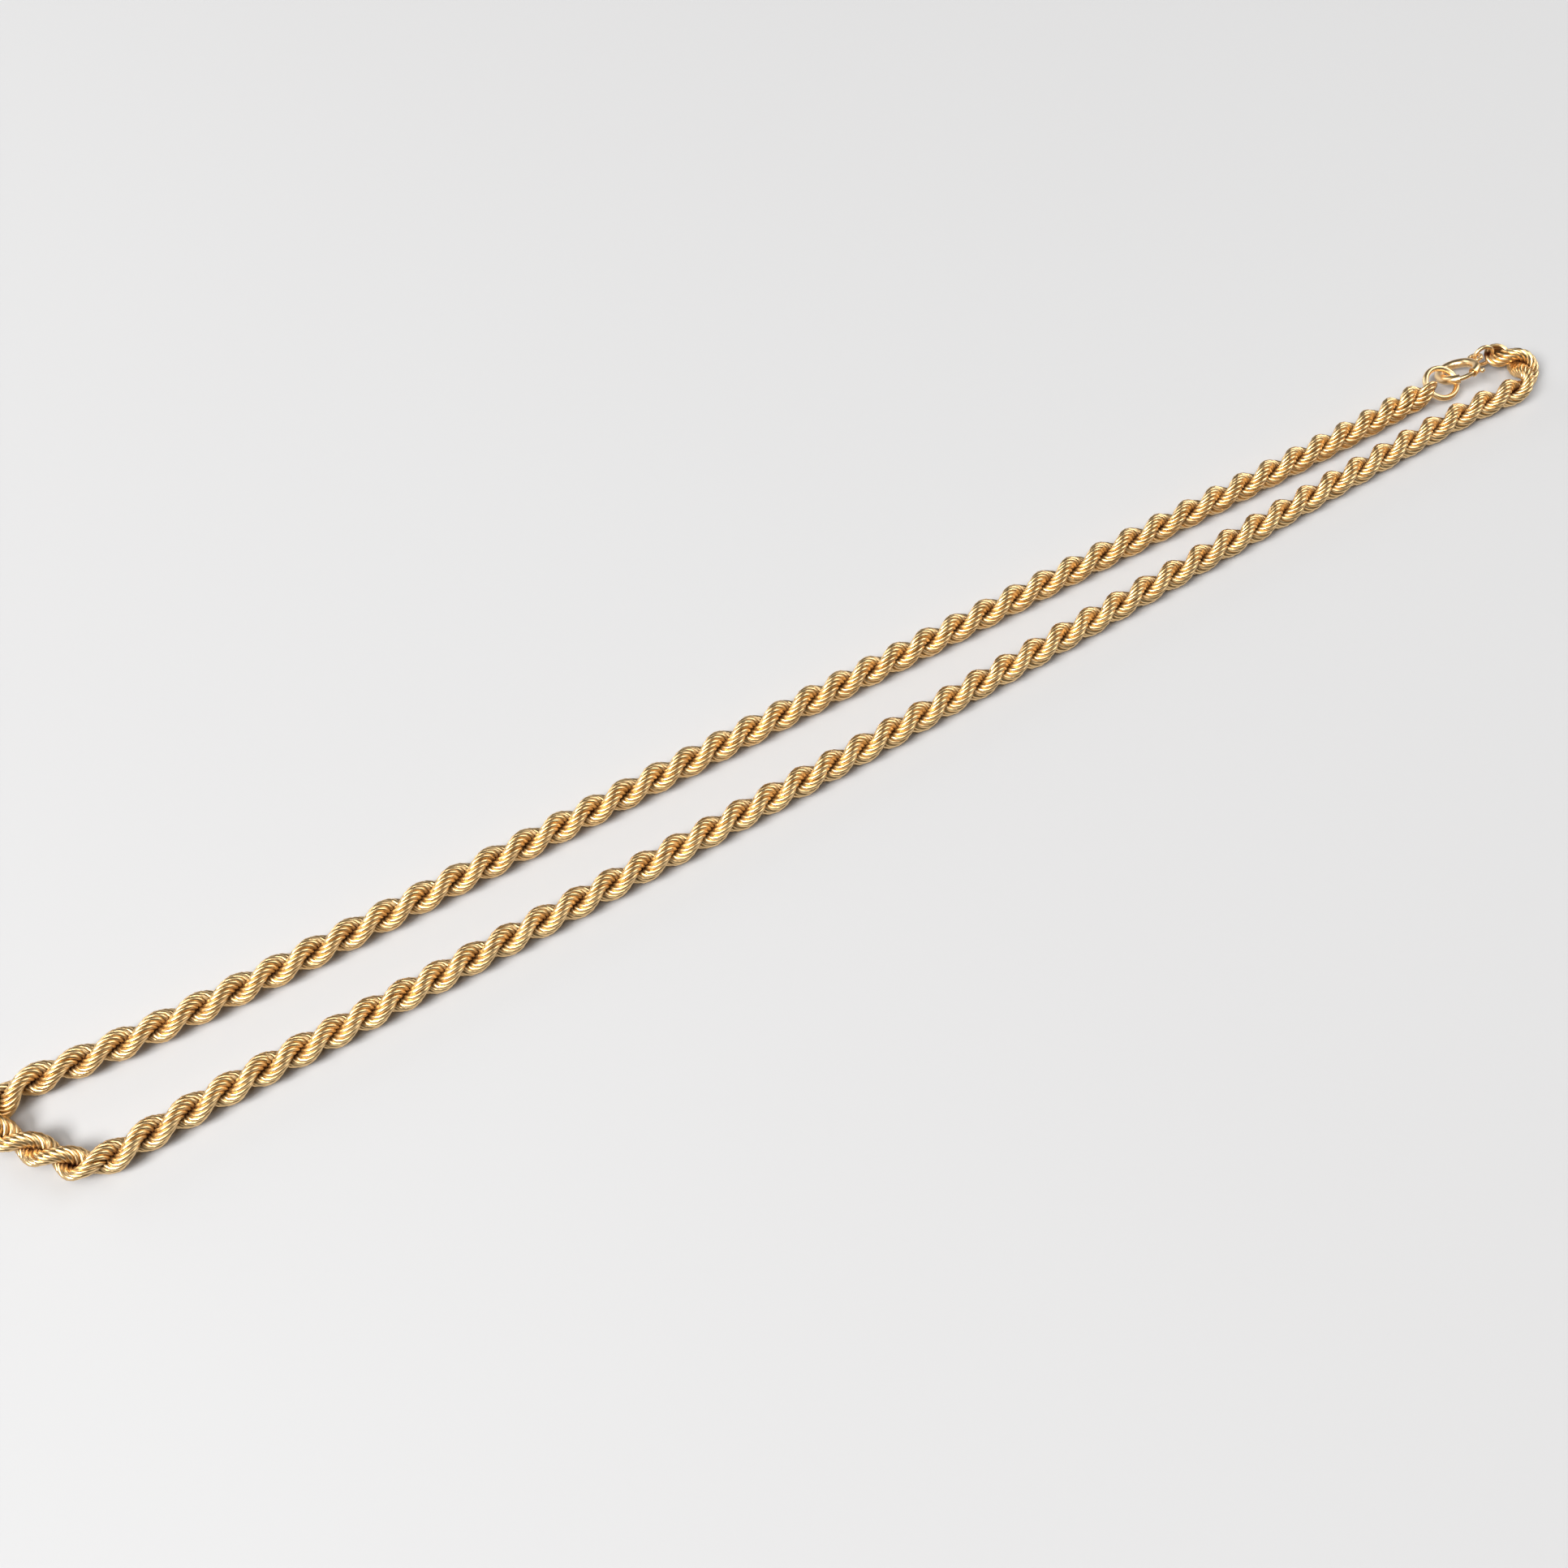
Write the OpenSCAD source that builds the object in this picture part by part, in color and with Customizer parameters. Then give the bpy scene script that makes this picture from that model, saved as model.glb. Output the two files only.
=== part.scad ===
/* [Rope chain] */
// Outer diameter of the twisted rope
rope_d = 4; // [3.8:0.1:4.1]
// Thickness of a link's wire
link_wire = 0.6; // [0.5:0.05:0.7]

/* [Catch ring] */
// Outer diameter of the ring that the clasp hooks into
catch_d = 5.5; // [5.4:0.1:5.7]
// Thickness of its wire
catch_wire = 0.8; // [0.6:0.05:0.85]

/* [Bolt ring clasp] */
// Outer diameter of the clasp
clasp_d = 6.3; // [6.2:0.1:6.4]
// Outer diameter of its tube
clasp_tube = 1.3; // [1.2:0.05:1.3]
// Inner diameter of its tube
clasp_bore = 0.92; // [0.88:0.02:0.96]
// Diameter of the bolt that slides in the tube
bolt_d = 0.7; // [0.6:0.05:0.75]
// Width of the gap that the bolt closes, in degrees round the clasp
gap_angle = 48; // [36:1:48]
// How far the bolt is pulled back, in degrees; 0 is shut
bolt_pull = 0; // [0:1:52]

/* [Connecting ring] */
// Outer diameter of the ring between the clasp and the rope
join_d = 3.3; // [3.2:0.1:3.4]
// Thickness of its wire
join_wire = 0.6; // [0.5:0.05:0.65]

/* [Hidden] */

// The line the rope lies along on the table, from its catch end round to its clasp end, in X and Y
ROUTE = [
    [98, 3.1], [90, 2.9], [76, 2.9], [58, 3.2], [38, 3.6], [18, 3.9], [-2, 4.2], [-22, 4.4],
    [-42, 4.5], [-62, 4.6], [-80, 4.8], [-94, 5.3], [-103, 6], [-108, 6.5], [-111, 6.4],
    [-112.8, 5.2], [-113.4, 3.4], [-112.9, 1.7], [-111.4, -0.1], [-109.4, -2.4], [-107.5, -4.7],
    [-105.9, -6.1], [-103.4, -6.5], [-99, -6.3], [-90, -5.9], [-76, -5.8], [-58, -5.7],
    [-38, -5.6], [-18, -5.4], [2, -5.1], [22, -4.6], [42, -4], [62, -3.4], [80, -2.9],
    [94, -2.7], [103, -2.8], [107.6, -3.1], [110.4, -3.1], [112.2, -2.3], [113.2, -0.9],
    [113.3, 0.8], [112.6, 2.2], [111.45, 3.05]
];
LAST = len(ROUTE) - 1;
rope_z = rope_d / 2;
tube_sides = 8;
ring_gap = 9;
step = 0.2;

link_r = (rope_d - link_wire) / 2;
catch_r = (catch_d - catch_wire) / 2;
clasp_r = (clasp_d - clasp_tube) / 2;
join_r = (join_d - join_wire) / 2;

// Where the rings lie: each leans on the next one, and the clasp's lower side touches the table
catch_pos = [100.9, 3.2, 2];
catch_tilt = [14, -1, 0];
clasp_roll = 144;
clasp_turn = 10;
clasp_pos = [104.3, 3.6, clasp_tube / 2 + clasp_r * sin(clasp_roll) + 0.02];
join_pos = [109.5, 3.95, 2.1];
join_tilt = [67, 3, -19];

// The eye that is soldered to the clasp's tube
eye_wire = 0.54;
eye_r = 0.85;
eye_sink = 0.35;
eye_pos = clasp_d / 2 + eye_r + eye_wire / 2 - eye_sink;

// Places round the clasp, in degrees from its eye
gap_start = 88;
gap_end = gap_start + gap_angle;
bolt_tip = gap_end + 3.5;
bolt_tail = 30;
knob_at = 76;
pocket_depth = 11;
bore_tail = bolt_tail - 58;
slot_end = knob_at + 7;
slot_start = knob_at - 60;
slot_w = 0.56;
post_d = 0.4;
knob_d = 0.7;
knob_rise = 0.08;
fine = 48;

// The route as one smooth curve, with a slope at each point that leans to its shorter side
function chord(i) = ROUTE[i + 1] - ROUTE[i];
function slope(i) =
    i == 0 ? chord(0) / norm(chord(0)) :
    i == LAST ? chord(LAST - 1) / norm(chord(LAST - 1)) :
    let (a = norm(chord(i - 1)), b = norm(chord(i)))
    (chord(i - 1) * b / a + chord(i) * a / b) / (a + b);
function along(i, t) =
    let (l = norm(chord(i)))
    ROUTE[i] * (2 * t^3 - 3 * t^2 + 1) + ROUTE[i + 1] * (3 * t^2 - 2 * t^3)
    + slope(i) * l * (t^3 - 2 * t^2 + t) + slope(i + 1) * l * (t^3 - t^2);
function heading(i, t) =
    let (a = max(t - step, 0), b = min(t + step, 1), d = along(i, b) - along(i, a))
    d / norm(d);
function steps(i) = max(1, round(norm(chord(i)) / ring_gap));

// The rings of the tube, as a segment of the route and a share of it
stations = [
    for (i = [0 : LAST - 1]) for (k = [0 : steps(i) - 1]) [i, k / steps(i)],
    [LAST - 1, 1]
];

// One ring of the tube: flat underneath, and upright across the rope's heading
function tube_ring(s) =
    let (p = along(s[0], s[1]), h = s[1] == 0 ? slope(s[0]) / norm(slope(s[0])) : heading(s[0], s[1]),
         r = rope_d / 2 / cos(180 / tube_sides))
    [for (k = [0 : tube_sides - 1]) let (a = 360 * (k + 0.5) / tube_sides)
        [p[0] - h[1] * r * cos(a), p[1] + h[0] * r * cos(a), rope_z + r * sin(a)]];

module ring(mean_r, wire) {
    rotate_extrude($fn = fine) translate([mean_r, 0]) circle(d = wire, $fn = fine);
}

module arc(mean_r, wire, from, to) {
    rotate([0, 0, from]) rotate_extrude(angle = to - from, $fn = fine)
        translate([mean_r, 0]) circle(d = wire, $fn = fine);
}

module rope_tube() {
    rings = len(stations);
    n = tube_sides;
    polyhedron(
        points = [for (s = stations) each tube_ring(s)],
        faces = [
            [for (k = [0 : n - 1]) k],
            [for (k = [0 : n - 1]) rings * n - 1 - k],
            for (j = [0 : rings - 2]) for (k = [0 : n - 1]) let (a = j * n + k, b = j * n + (k + 1) % n)
                each [[a, a + n, b], [b, a + n, b + n]]
        ]
    );
}

// The rope, with the last link of each end standing half out of it for the rings to pass through
module rope_chain() {
    first = ROUTE[0];
    end = ROUTE[LAST];
    color("goldenrod") union() {
        rope_tube();
        translate([first[0], first[1], rope_z]) rotate([90, 0, 0]) ring(link_r, link_wire);
        translate([end[0], end[1], rope_z]) ring(link_r, link_wire);
    }
}

module catch_ring() {
    color("gold") translate(catch_pos) rotate(catch_tilt) ring(catch_r, catch_wire);
}

module in_clasp() {
    translate(clasp_pos) rotate([clasp_roll, 0, clasp_turn]) children();
}

// A bent tube with a gap, a bore for the bolt, a pocket for its tip, a slot for its knob and an eye
module bolt_ring() {
    color("gold") in_clasp() difference() {
        union() {
            arc(clasp_r, clasp_tube, gap_end, gap_start + 360);
            translate([eye_pos, 0, 0]) ring(eye_r, eye_wire);
        }
        arc(clasp_r, clasp_bore, bore_tail, gap_start + 2);
        arc(clasp_r, clasp_bore, gap_end - 2, gap_end + pocket_depth);
        rotate([0, 0, slot_start]) rotate_extrude(angle = slot_end - slot_start, $fn = fine)
            translate([clasp_r + clasp_bore / 4, -slot_w / 2]) square([clasp_tube, slot_w]);
    }
}

// The bolt turns about the clasp's centre as it slides
module sliding_bolt() {
    knob_r = clasp_d / 2 + knob_rise + knob_d / 2;
    color("khaki") in_clasp() rotate([0, 0, -bolt_pull]) union() {
        arc(clasp_r, bolt_d, bolt_tail, bolt_tip);
        rotate([0, 0, knob_at]) {
            translate([clasp_r, 0, 0]) rotate([0, 90, 0]) cylinder(d = post_d, h = knob_r - clasp_r, $fn = fine);
            translate([knob_r, 0, 0]) sphere(d = knob_d, $fn = fine);
        }
    }
}

module connecting_ring() {
    color("gold") translate(join_pos) rotate(join_tilt) ring(join_r, join_wire);
}

rope_chain();
catch_ring();
bolt_ring();
sliding_bolt();
connecting_ring();
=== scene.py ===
import math

import bpy
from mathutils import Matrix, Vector


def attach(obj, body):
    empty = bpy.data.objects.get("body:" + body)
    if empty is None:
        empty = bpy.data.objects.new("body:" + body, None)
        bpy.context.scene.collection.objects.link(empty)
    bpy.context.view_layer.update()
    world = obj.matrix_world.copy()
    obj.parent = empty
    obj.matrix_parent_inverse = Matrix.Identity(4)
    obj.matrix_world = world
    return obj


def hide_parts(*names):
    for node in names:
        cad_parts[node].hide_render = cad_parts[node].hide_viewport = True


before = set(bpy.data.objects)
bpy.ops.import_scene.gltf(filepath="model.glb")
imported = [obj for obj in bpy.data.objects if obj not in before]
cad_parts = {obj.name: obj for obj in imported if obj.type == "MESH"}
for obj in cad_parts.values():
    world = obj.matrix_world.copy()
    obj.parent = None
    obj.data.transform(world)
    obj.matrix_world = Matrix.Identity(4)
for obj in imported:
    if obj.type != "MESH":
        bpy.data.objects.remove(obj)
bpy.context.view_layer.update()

MM = 0.001

# The rope, with the sizes and the line of the part's source. A link is a trifle small, so that the
# outermost ones stay inside the part's box where the line bends.
ROPE_D = 4 * MM
LINK_WIRE = 0.6 * MM
LINK_PLAY = 0.04 * MM
LINK_R = (ROPE_D - LINK_WIRE) / 2 - LINK_PLAY
ROPE_Z = LINK_R + LINK_WIRE / 2
ROUTE = [
    (98, 3.1), (90, 2.9), (76, 2.9), (58, 3.2), (38, 3.6), (18, 3.9), (-2, 4.2), (-22, 4.4),
    (-42, 4.5), (-62, 4.6), (-80, 4.8), (-94, 5.3), (-103, 6), (-108, 6.5), (-111, 6.4),
    (-112.8, 5.2), (-113.4, 3.4), (-112.9, 1.7), (-111.4, -0.1), (-109.4, -2.4), (-107.5, -4.7),
    (-105.9, -6.1), (-103.4, -6.5), (-99, -6.3), (-90, -5.9), (-76, -5.8), (-58, -5.7),
    (-38, -5.6), (-18, -5.4), (2, -5.1), (22, -4.6), (42, -4), (62, -3.4), (80, -2.9),
    (94, -2.7), (103, -2.8), (107.6, -3.1), (110.4, -3.1), (112.2, -2.3), (113.2, -0.9),
    (113.3, 0.8), (112.6, 2.2), (111.45, 3.05),
]
CURVE_STEPS = 32

# How the links lie: each is turned a little further round the rope's line than the last, and pulled
# a little out of flat. The first stands upright and the last lies level, as in the part's source.
LINKS = 900
HALF_TURNS = 97.5
FIRST_TURN = math.radians(90)
PULL = -0.08
END_LINKS = 5
LINK_SIDES = 16
WIRE_SIDES = 6
TURN_PLAY = math.radians(2)
LEAN_PLAY = math.radians(2)
SEED = 7

# A rope is never twisted evenly: millimetres along it, and the degrees by which the twist is ahead there
TWIST_AHEAD = [
    (0, 0), (12, -88), (36, -98), (50, -83), (70, -38), (92, -78), (130, -118), (148, -113), (188, -63),
    (244, 38), (272, -17), (300, 8), (341, -32), (368, -57), (396, -17), (423, -32), (463, 0),
]


def add(tree, kind, inputs=None, **settings):
    """Adds a node with its settings. An input takes a value, or a node or socket to link from."""
    made = tree.nodes.new(kind)
    for name, value in settings.items():
        setattr(made, name, value)
    sockets = [s for s in made.inputs if s.enabled]
    for key, value in (inputs or {}).items():
        socket = sockets[key] if isinstance(key, int) else next(s for s in sockets if s.name == key)
        if isinstance(value, bpy.types.Node):
            value = next(s for s in value.outputs if s.enabled)
        if isinstance(value, bpy.types.NodeSocket):
            tree.links.new(value, socket)
        else:
            socket.default_value = value
    return made


def linear(hex_colour):
    """An sRGB hex colour as the linear colour that shaders take"""
    shares = [int(hex_colour[i:i + 2], 16) / 255 for i in (1, 3, 5)]
    return [s / 12.92 if s <= 0.04045 else ((s + 0.055) / 1.055) ** 2.4 for s in shares] + [1.0]


def show(obj):
    """Puts a new object into the scene"""
    bpy.context.scene.collection.objects.link(obj)
    return obj


# Materials. Polishing leaves hairlines a few hundredths of a millimetre apart. They are drawn coarser
# here, so that they show at all. The patches are where the finish is a little duller.
HAIRLINES = 0.12 * MM
HAIRLINE_DEPTH = 0.01 * MM
PATCHES = 1.4 * MM
TABLE_PATCHES = 167 * MM


def polished_gold(name, bright, hollow_shade_colour):
    """Yellow gold alloy, drawn as wire and polished. It mirrors what is round it, with faint hairlines on
    the outside.
    Deeper in the rope it is rougher, and it is painted darker and browner there as shade in the hollows."""
    material = bpy.data.materials.new(name)
    material.use_nodes = True
    tree = material.node_tree
    tree.nodes.clear()
    place = add(tree, "ShaderNodeTexCoord").outputs["Object"]
    depth = add(tree, "ShaderNodeAttribute", attribute_name="depth").outputs["Fac"]
    tone = add(tree, "ShaderNodeAttribute", attribute_name="tone").outputs["Fac"]
    clouds = add(tree, "ShaderNodeTexNoise", {"Vector": place, "Scale": 1 / PATCHES, "Detail": 3.0})
    marks = add(tree, "ShaderNodeTexNoise", {"Vector": place, "Scale": 1 / HAIRLINES, "Detail": 2.0})
    patchy = add(tree, "ShaderNodeMath", {0: clouds, 1: tone}, operation="ADD")
    wear = add(tree, "ShaderNodeMapRange", {
        "Value": patchy, "From Min": 0.3, "From Max": 1.6, "To Max": 0.2})
    # Painted shade: the deeper in the rope a point lies, the more the gold is painted dark brown,
    # standing in for the shade in the hollows
    painted_hollow_shade = add(tree, "ShaderNodeMapRange", {"Value": depth, "From Min": 0.3, "From Max": 0.9})
    # The painted hollow shade, plus the random duller patches of real wear
    painted_shade_and_wear = add(tree, "ShaderNodeMath", {0: painted_hollow_shade, 1: wear}, operation="ADD")
    colour = add(tree, "ShaderNodeMix", {"Factor": painted_shade_and_wear, "A": linear(bright), "B": linear(hollow_shade_colour)},
                 data_type="RGBA")
    dull = add(tree, "ShaderNodeMapRange", {"Value": painted_shade_and_wear, "To Min": 0.3, "To Max": 0.45})
    grain = add(tree, "ShaderNodeBump", {"Height": marks, "Strength": 0.12, "Distance": HAIRLINE_DEPTH})
    gold = add(tree, "ShaderNodeBsdfPrincipled", {
        "Base Color": colour, "Metallic": 1.0, "Roughness": dull, "Normal": grain})
    add(tree, "ShaderNodeOutputMaterial", {"Surface": gold})
    return material


def pale_table():
    """A smooth painted table top, matt and nearly white"""
    material = bpy.data.materials.new("matt_white_table")
    material.use_nodes = True
    tree = material.node_tree
    tree.nodes.clear()
    place = add(tree, "ShaderNodeTexCoord").outputs["Object"]
    clouds = add(tree, "ShaderNodeTexNoise", {"Vector": place, "Scale": 1 / TABLE_PATCHES, "Detail": 2.0})
    colour = add(tree, "ShaderNodeMix", {
        "Factor": clouds, "A": linear("#C2C2C2"), "B": linear("#C0BFBF")}, data_type="RGBA")
    paint = add(tree, "ShaderNodeBsdfPrincipled", {"Base Color": colour, "Roughness": 0.7})
    add(tree, "ShaderNodeOutputMaterial", {"Surface": paint})
    return material


# The second colour of each gold is the painted shade colour for the hollows deep in the rope
rope_gold = polished_gold("polished_yellow_gold_rope", "#FFD99D", "#5F371E")
ring_gold = polished_gold("polished_yellow_gold_rings", "#FFDCA6", "#5F371E")


# The rope of links

def twist_ahead(distance):
    """The angle by which the twist is ahead of an even one, this far along the rope"""
    for (start, before), (end, after) in zip(TWIST_AHEAD, TWIST_AHEAD[1:]):
        if distance < end * MM:
            return math.radians(before + (after - before) * (distance / MM - start) / (end - start))
    return 0.0


def route_curve():
    """The line of the rope as a Bezier curve, bent as the part's source bends it, with its uneven
    twist as the curve's tilt"""
    points = [Vector((x * MM, y * MM, ROPE_Z)) for x, y in ROUTE]
    chords = [b - a for a, b in zip(points, points[1:])]
    slopes = [chords[0].normalized()]
    for before, after in zip(chords, chords[1:]):
        a, b = before.length, after.length
        slopes.append((before * b / a + after * a / b) / (a + b))
    slopes.append(chords[-1].normalized())
    curve = bpy.data.curves.new("rope_route", "CURVE")
    curve.dimensions = "3D"
    curve.resolution_u = CURVE_STEPS
    spline = curve.splines.new("BEZIER")
    spline.bezier_points.add(len(points) - 1)
    reach = [0] + [c.length / 3 for c in chords] + [0]
    for i, bend in enumerate(spline.bezier_points):
        bend.co = points[i]
        bend.handle_left_type = bend.handle_right_type = "FREE"
        bend.handle_left = points[i] - slopes[i] * reach[i]
        bend.handle_right = points[i] + slopes[i] * reach[i + 1]
        bend.tilt = twist_ahead(sum(c.length for c in chords[:i]))
    return curve


def rope_tree():
    """Geometry nodes that set round links along a curve, each turned a little further than the last.
    The end links stand straight, where the next ring passes through them."""
    tree = bpy.data.node_groups.new("rope_of_links", "GeometryNodeTree")
    tree.interface.new_socket("Rope", in_out="OUTPUT", socket_type="NodeSocketGeometry")
    for name, kind in (
        ("Route", "Geometry"), ("Links", "Int"), ("End links", "Int"), ("First turn", "Float"),
        ("Turn", "Float"), ("Pull", "Float"), ("Turn play", "Float"), ("Lean play", "Float"),
        ("Seed", "Int"), ("Link radius", "Float"), ("Wire radius", "Float"), ("Link sides", "Int"),
        ("Wire sides", "Int"), ("Material", "Material"),
    ):
        tree.interface.new_socket(name, in_out="INPUT", socket_type="NodeSocket" + kind)
    given = add(tree, "NodeGroupInput").outputs
    index = add(tree, "GeometryNodeInputIndex")

    # One link. Its points know how deep in the rope they lie, and how far a pull lifts them out of flat
    bend = add(tree, "GeometryNodeCurvePrimitiveCircle", {
        "Resolution": given["Link sides"], "Radius": given["Link radius"]}, mode="RADIUS")
    wire = add(tree, "GeometryNodeCurvePrimitiveCircle", {
        "Resolution": given["Wire sides"], "Radius": given["Wire radius"]}, mode="RADIUS")
    link = add(tree, "GeometryNodeCurveToMesh", {"Curve": bend, "Profile Curve": wire})
    spot = add(tree, "ShaderNodeSeparateXYZ", {0: add(tree, "GeometryNodeInputPosition")}).outputs
    outward = add(tree, "ShaderNodeMath", {0: spot["Y"]}, operation="ABSOLUTE")
    # How deep in the rope a point lies. The gold's material paints darker, browner shade there, standing
    # in for the shade in the hollows
    depth = add(tree, "ShaderNodeMapRange", {
        "Value": outward, "From Max": given["Link radius"], "To Min": 1.0, "To Max": 0.0})
    link = add(tree, "GeometryNodeStoreNamedAttribute", {
        "Geometry": link, "Name": "depth", "Value": depth}, data_type="FLOAT", domain="POINT")
    corner = add(tree, "ShaderNodeMath", {0: spot["X"], 1: spot["Y"]}, operation="MULTIPLY")
    lift = add(tree, "ShaderNodeMath", {0: corner, 1: given["Link radius"]}, operation="DIVIDE")
    link = add(tree, "GeometryNodeStoreNamedAttribute", {
        "Geometry": link, "Name": "lift", "Value": lift}, data_type="FLOAT", domain="POINT")
    link = add(tree, "GeometryNodeSetShadeSmooth", {"Geometry": link})

    # How far a link is from straight: nothing at the rope's ends, all of it a few links in
    last = add(tree, "ShaderNodeMath", {0: given["Links"], 1: 1.0}, operation="SUBTRACT")
    to_end = add(tree, "ShaderNodeMath", {0: last, 1: index}, operation="SUBTRACT")
    nearest = add(tree, "ShaderNodeMath", {0: index, 1: to_end}, operation="MINIMUM")
    settled = add(tree, "ShaderNodeMapRange", {"Value": nearest, "From Max": given["End links"]})

    # The turn of each link, with the play that a real rope has
    def stray(play, seed_step):
        """A chance angle of up to play either way, less towards the ends"""
        low = add(tree, "ShaderNodeMath", {0: play, 1: -1.0}, operation="MULTIPLY")
        seed = add(tree, "ShaderNodeMath", {0: given["Seed"], 1: seed_step}, operation="ADD")
        chance = add(tree, "FunctionNodeRandomValue", {
            "Min": low, "Max": play, "ID": index, "Seed": seed}, data_type="FLOAT")
        return add(tree, "ShaderNodeMath", {0: chance, 1: settled}, operation="MULTIPLY")

    even = add(tree, "ShaderNodeMath", {
        0: index, 1: given["Turn"], 2: given["First turn"]}, operation="MULTIPLY_ADD")
    tilt = add(tree, "GeometryNodeInputCurveTilt")
    uneven = add(tree, "ShaderNodeMath", {0: even, 1: tilt}, operation="ADD")
    turn = add(tree, "ShaderNodeMath", {0: uneven, 1: stray(given["Turn play"], 0.0)}, operation="ADD")
    lean = stray(given["Lean play"], 1.0)
    ahead = add(tree, "GeometryNodeInputTangent")
    along = add(tree, "FunctionNodeAxesToRotation", {
        0: ahead, 1: (0.0, 0.0, 1.0)}, primary_axis="X", secondary_axis="Z")
    roll = add(tree, "FunctionNodeAxisAngleToRotation", {"Axis": (1.0, 0.0, 0.0), "Angle": turn})
    turned = add(tree, "FunctionNodeRotateRotation", {0: along, 1: roll}, rotation_space="LOCAL")
    tip = add(tree, "FunctionNodeAxisAngleToRotation", {"Axis": (0.0, 1.0, 0.0), "Angle": lean})
    leaning = add(tree, "FunctionNodeRotateRotation", {0: turned, 1: tip}, rotation_space="LOCAL")

    # The links on the curve, each pulled along its own flat side
    spots = add(tree, "GeometryNodeResampleCurve", {
        "Curve": given["Route"], "Count": given["Links"]}, mode="COUNT")
    flat_side = add(tree, "FunctionNodeRotateVector", {"Vector": (0.0, 0.0, 1.0), "Rotation": leaning})
    pull = add(tree, "ShaderNodeMath", {0: given["Pull"], 1: settled}, operation="MULTIPLY")
    pulled = add(tree, "ShaderNodeVectorMath", {0: flat_side, "Scale": pull}, operation="SCALE")
    spots = add(tree, "GeometryNodeStoreNamedAttribute", {
        "Geometry": spots, "Name": "pulled", "Value": pulled}, data_type="FLOAT_VECTOR", domain="POINT")
    links = add(tree, "GeometryNodeInstanceOnPoints", {
        "Points": spots, "Instance": link, "Rotation": leaning})
    tone = add(tree, "FunctionNodeRandomValue", {
        "Min": 0.0, "Max": 1.0, "ID": index, "Seed": given["Seed"]}, data_type="FLOAT")
    links = add(tree, "GeometryNodeStoreNamedAttribute", {
        "Geometry": links, "Name": "tone", "Value": tone}, data_type="FLOAT", domain="INSTANCE")
    rope = add(tree, "GeometryNodeRealizeInstances", {"Geometry": links})
    lifted = add(tree, "GeometryNodeInputNamedAttribute", {"Name": "lift"}, data_type="FLOAT")
    pulled = add(tree, "GeometryNodeInputNamedAttribute", {"Name": "pulled"}, data_type="FLOAT_VECTOR")
    offset = add(tree, "ShaderNodeVectorMath", {0: pulled, "Scale": lifted}, operation="SCALE")
    rope = add(tree, "GeometryNodeSetPosition", {"Geometry": rope, "Offset": offset})
    for name in ("lift", "pulled"):
        rope = add(tree, "GeometryNodeRemoveAttribute", {"Geometry": rope, "Name": name})
    rope = add(tree, "GeometryNodeSetMaterial", {"Geometry": rope, "Material": given["Material"]})
    add(tree, "NodeGroupOutput", {"Rope": rope})
    return tree


def grown(name, start, tree, values):
    """A plain mesh object, from a geometry tree that runs on a curve"""
    holder = show(bpy.data.objects.new(name + "_start", start))
    modifier = holder.modifiers.new("links", "NODES")
    modifier.node_group = tree
    for item in tree.interface.items_tree:
        if item.name in values:
            modifier[item.identifier] = values[item.name]
    depsgraph = bpy.context.evaluated_depsgraph_get()
    mesh = bpy.data.meshes.new_from_object(holder.evaluated_get(depsgraph), depsgraph=depsgraph)
    mesh.name = name
    bpy.data.objects.remove(holder)
    return show(bpy.data.objects.new(name, mesh))


rope = grown("rope_links", route_curve(), rope_tree(), {
    "Links": LINKS, "End links": END_LINKS, "First turn": FIRST_TURN,
    "Turn": -math.radians(180) * HALF_TURNS / (LINKS - 1), "Pull": PULL,
    "Turn play": TURN_PLAY, "Lean play": LEAN_PLAY, "Seed": SEED,
    "Link radius": LINK_R, "Wire radius": LINK_WIRE / 2, "Link sides": LINK_SIDES,
    "Wire sides": WIRE_SIDES, "Material": rope_gold,
})
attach(rope, "necklace")
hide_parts("rope_chain")

# The rings and the clasp keep their exact shapes and take the finish
for node in ("catch_ring", "connecting_ring", "bolt_ring", "sliding_bolt"):
    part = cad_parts[node]
    part.data.materials.clear()
    part.data.materials.append(ring_gold)

# The table
TABLE_W = 4
bpy.ops.mesh.primitive_plane_add(size=TABLE_W)
table = bpy.context.object
table.name = "table"
table.data.materials.append(pale_table())


# Light: a soft sheet on the left, weaker ones on the right, behind and overhead, and a dim room

def softbox(name, at, size, watts):
    """A square white light that shines on the middle of the loop"""
    light = bpy.data.lights.new(name, "AREA")
    light.shape = "SQUARE"
    light.size = size
    light.energy = watts
    lamp = show(bpy.data.objects.new(name, light))
    lamp.location = at
    lamp.rotation_euler = (-Vector(at)).to_track_quat("-Z", "Y").to_euler()


softbox("left_softbox", (-1.24, -0.12, 1.29), 0.7, 37.0)
softbox("back_softbox", (-0.85, 1.51, 0.5), 1.0, 7.8)
softbox("right_softbox", (1.49, 0.09, 1.01), 1.25, 15.0)
softbox("top_softbox", (-0.27, -0.16, 1.77), 1.0, 13.0)

ROOM_LIGHT = 0.05
world = bpy.data.worlds.new("room")
world.use_nodes = True
room = world.node_tree.nodes["Background"].inputs
room["Color"].default_value = linear("#FFFFFF")
room["Strength"].default_value = ROOM_LIGHT
bpy.context.scene.world = world

# The camera, at the photo's angle over the table: steeply down, and turned off the loop's cross line
CAMERA_AT = (-0.0595, -0.0826, 0.18377)
CAMERA_DOWN = math.radians(63.5)
CAMERA_ROUND = math.radians(-30.449)
CAMERA_LENS = 36.906
camera_data = bpy.data.cameras.new("camera")
camera_data.lens = CAMERA_LENS
camera_data.sensor_width = 36.0
camera_data.clip_start = 0.01
camera = show(bpy.data.objects.new("camera", camera_data))
camera.location = CAMERA_AT
camera.rotation_euler = (math.radians(90) - CAMERA_DOWN, 0.0, CAMERA_ROUND)
bpy.context.scene.camera = camera
bpy.context.scene.view_settings.view_transform = "Standard"
